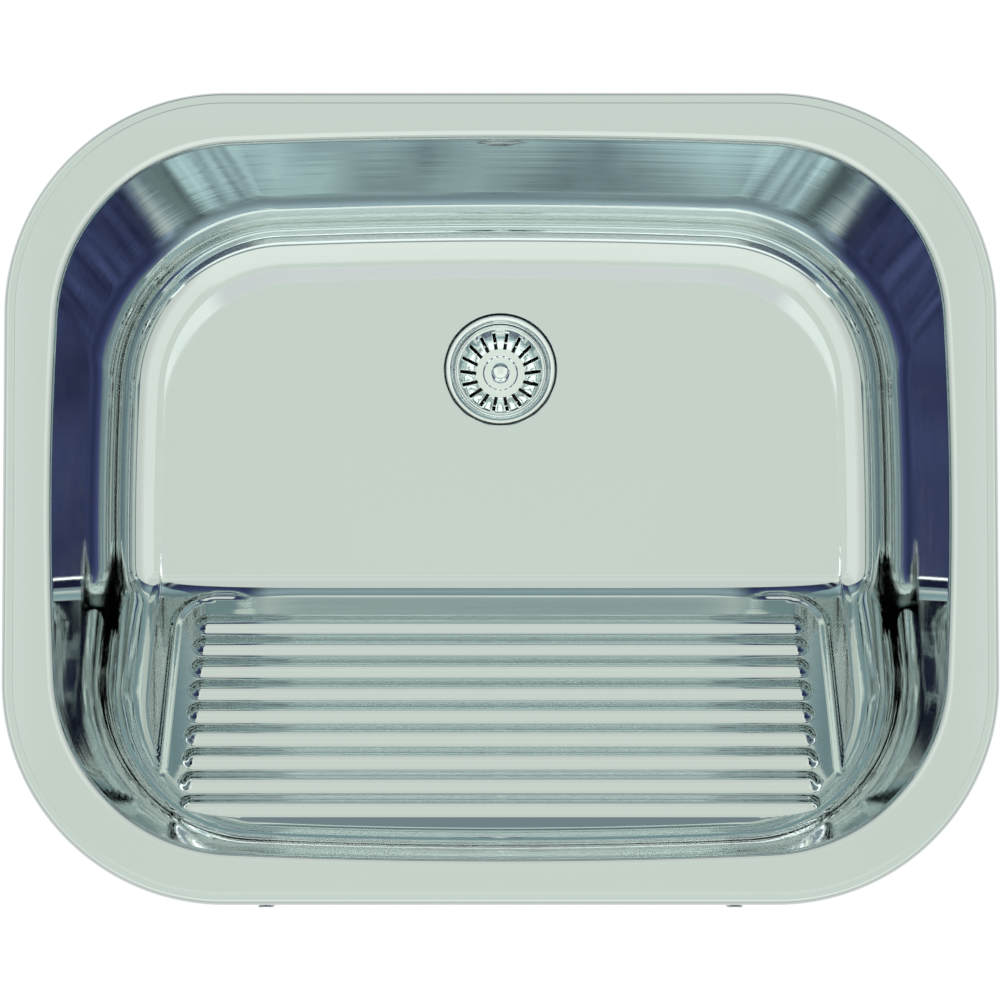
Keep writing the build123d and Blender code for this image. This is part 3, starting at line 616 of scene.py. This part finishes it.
lipArc = [(drain["mouth"] + drain["lip"] * (1 - sin(a)), drain["flangeTop"] - drain["lip"] * (1 - cos(a)))
          for a in np.linspace(0, pi / 2, 9)]
underLip = drain["lip"] - drain["sheet"]
underArc = [(drain["mouth"] + drain["lip"] - underLip * sin(a),
             drain["flangeTop"] - drain["lip"] + underLip * cos(a))
            for a in np.linspace(pi / 2, 0, 6)]
seatRun = drain["ledgeRadius"] - drain["seat"]
seatLength = sqrt(seatRun ** 2 + (drain["ledge"] - drain["bottom"]) ** 2)
sheet = drain["sheet"]
seatOut = sheet * (seatLength - seatRun) / (drain["ledge"] - drain["bottom"])       # mitre under the seat
cupProfile = ([(drain["flange"], drain["flangeTop"] - sheet), (drain["flange"], drain["flangeTop"])] + lipArc
              + [(drain["mouth"], drain["ledge"]), (drain["ledgeRadius"], drain["ledge"]),
                 (drain["seat"], drain["bottom"]), (drain["dimple"], drain["bottom"]),
                 (drain["dimple"], drain["dimpleBottom"]), (drain["hub"], drain["dimpleBottom"]),
                 (drain["hub"], drain["dimpleBottom"] - sheet),
                 (drain["dimple"] + sheet, drain["dimpleBottom"] - sheet),
                 (drain["dimple"] + sheet, drain["bottom"] - sheet),
                 (drain["seat"] + seatOut, drain["bottom"] - sheet),
                 (drain["ledgeRadius"] + seatOut, drain["ledge"] - sheet),
                 (drain["mouth"] + sheet, drain["ledge"] - sheet)]
              + underArc)
cup = turnedPiece("drain_cup_pressing", cupProfile, True)
soften(cup, drain["softEdge"])
middle = (0, drainY * mm, (floorZ + drain["bottom"] - sheet / 2) * mm)
bpy.ops.mesh.primitive_cylinder_add(vertices=64, radius=drain["windowOut"] * mm, depth=2 * sheet * mm,
                                    location=middle)
windows = bpy.context.object
bpy.ops.mesh.primitive_cylinder_add(vertices=64, radius=drain["windowIn"] * mm, depth=3 * sheet * mm,
                                    location=middle)
cutWith(windows, bpy.context.object)
for quarterTurn in (0, pi / 2):
    bpy.ops.mesh.primitive_cube_add(size=1, location=middle, rotation=(0, 0, quarterTurn),
                                    scale=(3 * drain["windowOut"] * mm, drain["spoke"] * mm, 3 * sheet * mm))
    cutWith(windows, bpy.context.object)
cutWith(cup, windows)
finishPiece(cup, "sink", "drain_cup", drainSteel)

floorUp = basket["floor"] + basket["stepUp"]
under = basket["sheet"]
coneRun = basket["beadRadius"] - basket["lip"] - basket["floorRadius"]
coneRise = basket["top"] - basket["floor"]
coneLength = sqrt(coneRun ** 2 + coneRise ** 2)
coneOut = under * (coneLength - coneRun) / coneRise
coneTop = basket["beadRadius"] - basket["lip"]
stepTop = basket["step"] - basket["stepUp"]
bead = [(basket["beadRadius"] - basket["bead"] * sin(a), basket["top"] + basket["bead"] * cos(a))
        for a in np.linspace(pi / 2, basket["beadRoll"], 18)]
basketProfile = ([(basket["hole"], floorUp), (stepTop, floorUp), (basket["step"], basket["floor"]),
                  (basket["floorRadius"], basket["floor"]), (coneTop, basket["top"])] + bead
                 + [(coneTop + coneOut, basket["top"] - under),
                    (basket["floorRadius"] + coneOut, basket["floor"] - under),
                    (basket["step"] - basket["stepOver"], basket["floor"] - under),
                    (stepTop - basket["stepOver"], floorUp - under), (basket["hole"], floorUp - under)])
strainer = turnedPiece("strainer_basket_pressing", basketProfile, True)
soften(strainer, basket["softEdge"])
bpy.ops.mesh.primitive_cube_add(size=1, location=(0, 0, (floorZ + basket["floor"]) * mm))
slots = bpy.context.object
bpy.ops.transform.resize(value=((basket["slotOut"] - basket["slotIn"]) * mm, basket["slotWidth"] * mm,
                                30 * mm))
bpy.ops.transform.translate(value=((basket["slotIn"] + basket["slotOut"]) / 2 * mm, drainY * mm, 0))
bpy.ops.object.transform_apply(location=True, rotation=True, scale=True)
bpy.ops.object.editmode_toggle()
bpy.ops.mesh.select_all(action="SELECT")
bpy.ops.mesh.spin(steps=basket["slots"], dupli=True, angle=2 * pi, center=(0, drainY * mm, 0), axis=(0, 0, 1))
bpy.ops.mesh.select_all(action="SELECT")
bpy.ops.mesh.remove_doubles(threshold=0.000004)
bpy.ops.object.editmode_toggle()
cutWith(strainer, slots)
finishPiece(strainer, "basket", "basket_shell", drainSteel)

knobTop = floorUp + basket["knobHeight"]
headLow = knobTop - basket["head"]
dome = [(basket["knob"] * sin(a), knobTop - basket["dome"] * (1 - cos(a)))
        for a in np.linspace(pi / 2, 0.06, 12)]
knobProfile = ([(basket["hole"], floorUp), (basket["foot"], floorUp),
                (basket["foot"], floorUp + basket["footHeight"]),
                (basket["neck"], floorUp + 2 * basket["footHeight"]), (basket["knob"], headLow)] + dome)
knob = turnedPiece("basket_knob_turning", knobProfile, False)
soften(knob, basket["knobEdge"])
finishPiece(knob, "basket", "basket_knob", drainSteel, 50)
print("drain made")


# Materials of the pieces that keep their CAD shape
finishes = {
    "hollow_screw": drainSteel, "basket_stem": turnedSteel, "stem_snap_ring": turnedSteel,
    "seal_backing_washer": turnedSteel, "push_nut": turnedSteel, "rim_seal": foam, "damping_pad": bitumen,
    "flange_seal": rubber, "body_seal": rubber, "stopper_seal": rubber, "waste_body": wastePlastic,
    "threaded_insert": brass,
}
replaced = ("bowl", "drain_cup", "basket_shell", "basket_knob")
for name, piece in nodes.items():
    finish = finishes.get(name, zincThread if name.startswith("clip_screw") else zincPlate)
    if name not in replaced:
        for materialSlot in piece.material_slots:
            materialSlot.material = finish
print("finishes given")


# Studio

studio = {"floor": -0.2795, "floorSize": 12.0, "glow": 1.06, "glowShare": 0.82}      # just under the tail
bpy.ops.mesh.primitive_plane_add(size=studio["floorSize"], location=(0, 0, studio["floor"]))
floor = bpy.context.object
floor.name = "studio_floor"
paper, tree, shader = newMaterial("white_paper_sweep")
shader.inputs["Base Color"].default_value = (0.9, 0.9, 0.9, 1)
shader.inputs["Roughness"].default_value = 0.9
glow = addNode(tree, "ShaderNodeEmission", Color=(1, 1, 1, 1), Strength=studio["glow"])
ray = addNode(tree, "ShaderNodeLightPath")
seen = addNode(tree, "ShaderNodeMath", {0: ray.outputs["Is Camera Ray"], 1: ray.outputs["Is Glossy Ray"]},
               operation="MAXIMUM")
amount = addNode(tree, "ShaderNodeMath", {0: seen.outputs[0]}, operation="MULTIPLY")
amount.inputs[1].default_value = studio["glowShare"]
mix = addNode(tree, "ShaderNodeMixShader", {0: amount.outputs[0], 1: shader.outputs[0], 2: glow.outputs[0]})
behind = addNode(tree, "ShaderNodeNewGeometry").outputs["Backfacing"]      # nothing is hidden from below
clear = addNode(tree, "ShaderNodeBsdfTransparent")
oneSided = addNode(tree, "ShaderNodeMixShader", {0: behind, 1: mix.outputs[0], 2: clear.outputs[0]})
tree.links.new(oneSided.outputs[0], tree.nodes["Material Output"].inputs["Surface"])
floor.data.materials.append(paper)

sky = bpy.data.worlds.new("studio_sky")
bpy.context.scene.world = sky
sky.use_nodes = True
tree = sky.node_tree
background = tree.nodes["Background"]

# What the steel mirrors: a pale softbox overhead in a dark room. A room of light is stops of degrees from
# overhead, tint and level, towards the back, the front and the sides. Light that meets the steel again comes
# from deeper in the studio, so each further meeting has a room of its own
softbox = {"halfSide": radians(11.75), "halfFront": radians(14.6), "edgeFrom": 14.2, "edgeTo": 15.6}
pale = (0.93, 1.0, 0.935)
milky = (0.96, 1.0, 0.955)
white = (1.02, 1.0, 1.03)
steely = (0.79, 1.0, 1.13)
inky = (0.85, 1.0, 2.7)
firstLight = {
    "back": [(0, pale, 1.07), (13, pale, 1.05), (16, milky, 1.12), (19, pale, 1.03), (25, milky, 1.12),
             (33, milky, 1.0), (60, milky, 1.0), (64, milky, 1.02), (67, steely, 0.37), (77, steely, 0.36),
             (79, milky, 1.1), (81, milky, 1.1), (83, steely, 0.3), (90, steely, 0.29)],
    "front": [(0, pale, 1.06), (4, pale, 1.06), (7, milky, 1.2), (14, milky, 1.27), (59, milky, 1.3),
              (63, milky, 0.75), (68, milky, 0.92), (80, milky, 0.85), (84, milky, 0.74), (90, milky, 0.7)],
    "side": [(0, pale, 1.07), (13, pale, 1.04), (15, milky, 1.2), (45, milky, 1.2), (58, milky, 0.98),
             (69, milky, 0.95), (73, milky, 0.72), (80, milky, 0.87), (85, steely, 0.6), (90, milky, 0.75)],
}
secondLight = {
    "back": [(0, white, 2.0), (4, white, 2.7), (19, white, 2.7), (22, milky, 1.35), (30, milky, 1.2),
             (36, steely, 0.5), (58, steely, 0.6), (61, white, 1.2), (63, white, 2.7), (69, white, 2.7),
             (71, steely, 0.7), (86, steely, 1.1)],
    "front": [(0, white, 1.4), (9, white, 1.35), (12.5, white, 1.1), (14, steely, 0.85), (15.2, steely, 0.46),
              (16.2, steely, 0.57), (17.4, steely, 0.93), (19, steely, 0.52), (36, steely, 0.52),
              (45, steely, 0.66), (54, steely, 0.93), (64, steely, 0.65), (67, milky, 1.78),
              (73, milky, 1.78), (75, steely, 0.61), (80, steely, 0.34), (90, steely, 0.3)],
    "side": [(0, white, 1.86), (12.5, milky, 1.72), (14.2, milky, 0.8), (15, inky, 0.055), (17, inky, 0.075),
             (22, inky, 0.09), (40, inky, 0.06), (50, inky, 0.1), (58, inky, 0.15), (63, steely, 0.35),
             (69, steely, 0.55), (71.5, milky, 1.45), (77, milky, 1.27), (80, steely, 0.78), (86, inky, 0.1)],
}
thirdLight = {
    "back": [(0, white, 3.0), (12, white, 3.0), (20, white, 1.9), (30, steely, 1.25), (36, steely, 1.12),
             (46, steely, 1.45), (54, white, 1.75), (57, white, 4.0), (61, white, 3.6), (64, white, 2.2),
             (68, white, 1.86), (72, steely, 1.14), (76, steely, 1.08), (80, white, 2.35), (90, white, 1.8)],
    "front": [(0, white, 3.0), (12, white, 3.0), (19, white, 1.8), (21, white, 4.3), (22.5, white, 4.3),
              (25, steely, 1.2), (30, white, 1.6), (36, steely, 1.0), (46, white, 2.0), (54, steely, 1.03),
              (64, steely, 1.27), (69, white, 1.5), (75, steely, 1.34),
              (80, steely, 0.91), (85, white, 1.9), (90, white, 1.85)],
    "side": [(0, white, 3.0), (12, white, 3.0), (14, white, 1.9), (20, white, 1.5), (50, steely, 1.4),
             (62, steely, 1.12), (68, steely, 0.74), (74, steely, 1.0), (80, white, 1.5), (84, white, 2.5),
             (87, steely, 0.92)],
}
lastLight = {
    "back": [(0, white, 4.5), (12, white, 4.5), (16, white, 2.4), (30, white, 4.5), (61, white, 3.5),
             (66, white, 2.3), (78, white, 2.0), (90, white, 1.5)],
    "front": [(0, white, 1.8), (17, white, 1.7), (20, white, 2.6), (45, white, 1.5), (60, white, 2.1),
              (69, white, 2.2), (72, white, 1.72), (75, white, 4.5), (77, white, 4.5), (80, steely, 0.83),
              (90, steely, 0.9)],
    "side": [(0, white, 1.9), (20, white, 1.6), (28, steely, 1.1), (50, white, 2.0), (60, white, 1.9),
             (66, steely, 0.8), (69, steely, 0.49), (71.5, white, 1.9), (77, white, 1.86), (80, steely, 1.3),
             (90, white, 1.7)],
}
fades = {                                  # degrees from overhead, from none to full or from full to none
    "patches": (40, 26), "flicker": (34, 24), "lowGapIn": (69, 71), "lowGapOut": (79, 76), "lowGapBack": 6,
    "highGapIn": (16, 20), "highGapOut": (42, 38),
}
gapShare = (0.25, 0.3, 0.43, 0.48)         # how far to the side the gaps reach
cornerPatches = [(0.0, 1.0), (0.16, 1.0), (0.24, 1.25), (0.3, 0.9), (0.34, 0.45), (0.42, 0.5), (0.46, 1.0),
                 (0.5, 1.9), (0.54, 1.4), (0.58, 0.7), (0.66, 1.0), (1.0, 1.0)]        # from front to side


def skyRamp(stops, along):
    node = addNode(tree, "ShaderNodeValToRGB", {0: along})
    elements = node.color_ramp.elements
    for i, (at, color) in enumerate(stops):
        element = elements[i] if i < 2 else elements.new(at)
        element.position = at
        element.color = (*color, 1.0)
    return node.outputs[0]


# Colour of one room by direction
def roomLight(room):
    ramps = {}
    for side, stops in room.items():
        colors = [(at / 90, tuple(level * channel for channel in tint)) for at, tint, level in stops]
        ramps[side] = skyRamp(colors, overhead)
    ends = mixSky("MIX", smooth(wayParts[1], 0.06, -0.06), ramps["back"], ramps["front"])
    return mixSky("MIX", smooth(share, 0.4, 0.6), ends, ramps["side"])


def skyMath(operation, first, second=None):
    node = addNode(tree, "ShaderNodeMath", operation=operation)
    for i, value in enumerate((first, second)):
        if isinstance(value, float):
            node.inputs[i].default_value = value
        elif value is not None:
            tree.links.new(value, node.inputs[i])
    return node.outputs[0]


def mixSky(kind, amount, first, second):
    return addNode(tree, "ShaderNodeMixRGB", {0: amount, 1: first, 2: second}, blend_type=kind).outputs[0]


def smooth(value, low, high):
    node = addNode(tree, "ShaderNodeMapRange", {0: value}, interpolation_type="SMOOTHSTEP")
    node.inputs[1].default_value = low
    node.inputs[2].default_value = high
    return node.outputs[0]


def fade(name, along):
    none, full = fades[name]
    return smooth(along, none / 90, full / 90)


way = addNode(tree, "ShaderNodeTexCoord").outputs["Generated"]
wayParts = addNode(tree, "ShaderNodeSeparateXYZ", {0: way}).outputs
up = skyMath("MAXIMUM", wayParts[2], 0.001)
sideScale = tan(softbox["halfFront"]) / tan(softbox["halfSide"])
toSide = skyMath("MULTIPLY", skyMath("DIVIDE", skyMath("ABSOLUTE", wayParts[0]), up), sideScale)
toEnd = skyMath("DIVIDE", skyMath("ABSOLUTE", wayParts[1]), up)
overhead = skyMath("MULTIPLY", skyMath("ARCTANGENT", skyMath("MAXIMUM", toSide, toEnd)), 2 / pi)      # 0 to 1
share = skyMath("DIVIDE", toSide, skyMath("ADD", skyMath("ADD", toSide, toEnd), 0.0001))    # 1 to the side

# Beside the softbox the room is broken up: patches at its corners, and a flicker of small things
offBox = smooth(overhead, softbox["edgeFrom"] / 90, softbox["edgeTo"] / 90)
patch = skyRamp([(at, (level, level, level)) for at, level in cornerPatches], share)
patched = mixSky("MULTIPLY", skyMath("MULTIPLY", offBox, fade("patches", overhead)),
                 roomLight(secondLight), patch)
shimmer = addNode(tree, "ShaderNodeTexNoise", {"Vector": way}, Scale=34.0, Detail=3.0, Roughness=0.6)
flicker = addNode(tree, "ShaderNodeValToRGB", {0: shimmer.outputs[0]})
flicker.color_ramp.elements[0].position = 0.32
flicker.color_ramp.elements[0].color = (0.4, 0.42, 0.45, 1)
flicker.color_ramp.elements[1].position = 0.68
flicker.color_ramp.elements[1].color = (1.9, 1.9, 1.75, 1)
flickered = mixSky("MULTIPLY", skyMath("MULTIPLY", offBox, fade("flicker", overhead)),
                   patched, flicker.outputs[0])

# A ray that has met the steel once reads a depth of 2, after two meetings 3, and so on
ray = addNode(tree, "ShaderNodeLightPath")
meetings = ray.outputs["Ray Depth"]
mirrored = roomLight(firstLight)
for past, light in ((2.5, flickered), (3.5, roomLight(thirdLight)), (4.5, roomLight(lastLight))):
    mirrored = mixSky("MIX", skyMath("GREATER_THAN", meetings, past), mirrored, light)

# Dark gaps in the room, low and high, that the walls beside the washboard mirror
toBack = skyMath("GREATER_THAN", wayParts[1], 0.0)
earlier = skyMath("ADD", overhead, skyMath("MULTIPLY", toBack, fades["lowGapBack"] / 90))
lowGap = skyMath("MULTIPLY", fade("lowGapIn", earlier), fade("lowGapOut", overhead))
lowGap = skyMath("MULTIPLY", lowGap, skyMath("GREATER_THAN", skyMath("SUBTRACT", meetings, toBack), 3.5))
highGap = skyMath("MULTIPLY", fade("highGapIn", overhead), fade("highGapOut", overhead))
highGap = skyMath("MULTIPLY", highGap, toBack)
metTwice = skyMath("MULTIPLY", skyMath("GREATER_THAN", meetings, 2.5), skyMath("LESS_THAN", meetings, 3.5))
gaps = skyMath("ADD", lowGap, skyMath("MULTIPLY", highGap, metTwice))
low, lowFull, highFull, high = gapShare
gapReach = skyMath("MULTIPLY", smooth(share, low, lowFull), smooth(share, high, highFull))
gaps = skyMath("MULTIPLY", gaps, gapReach)
darkness = addNode(tree, "ShaderNodeRGB")
darkness.outputs[0].default_value = (0.02, 0.023, 0.075, 1)
mirrored = mixSky("MIX", gaps, mirrored, darkness.outputs[0])

# The camera itself sees white paper
seen = addNode(tree, "ShaderNodeMixRGB", {0: ray.outputs["Is Camera Ray"], 1: mirrored})
seen.inputs[2].default_value = (1, 1, 1, 1)
tree.links.new(seen.outputs[0], background.inputs["Color"])
print("studio made")


# Camera

view = {"lens": 90.35, "y": -0.1262, "height": 1.3862, "tilt": radians(2.0), "shiftX": -0.00045,
        "shiftY": 0.1375}                  # overhead and a little in front, in metres
cameraData = bpy.data.cameras.new("camera")
cameraData.lens = view["lens"]
cameraData.sensor_width = 36.0
cameraData.shift_x = view["shiftX"]
cameraData.shift_y = view["shiftY"]
camera = bpy.data.objects.new("camera", cameraData)
camera.location = (0, view["y"], view["height"])
camera.rotation_euler = (view["tilt"], 0, 0)
bpy.context.scene.collection.objects.link(camera)
bpy.context.scene.camera = camera
bpy.context.scene.view_settings.view_transform = "Standard"
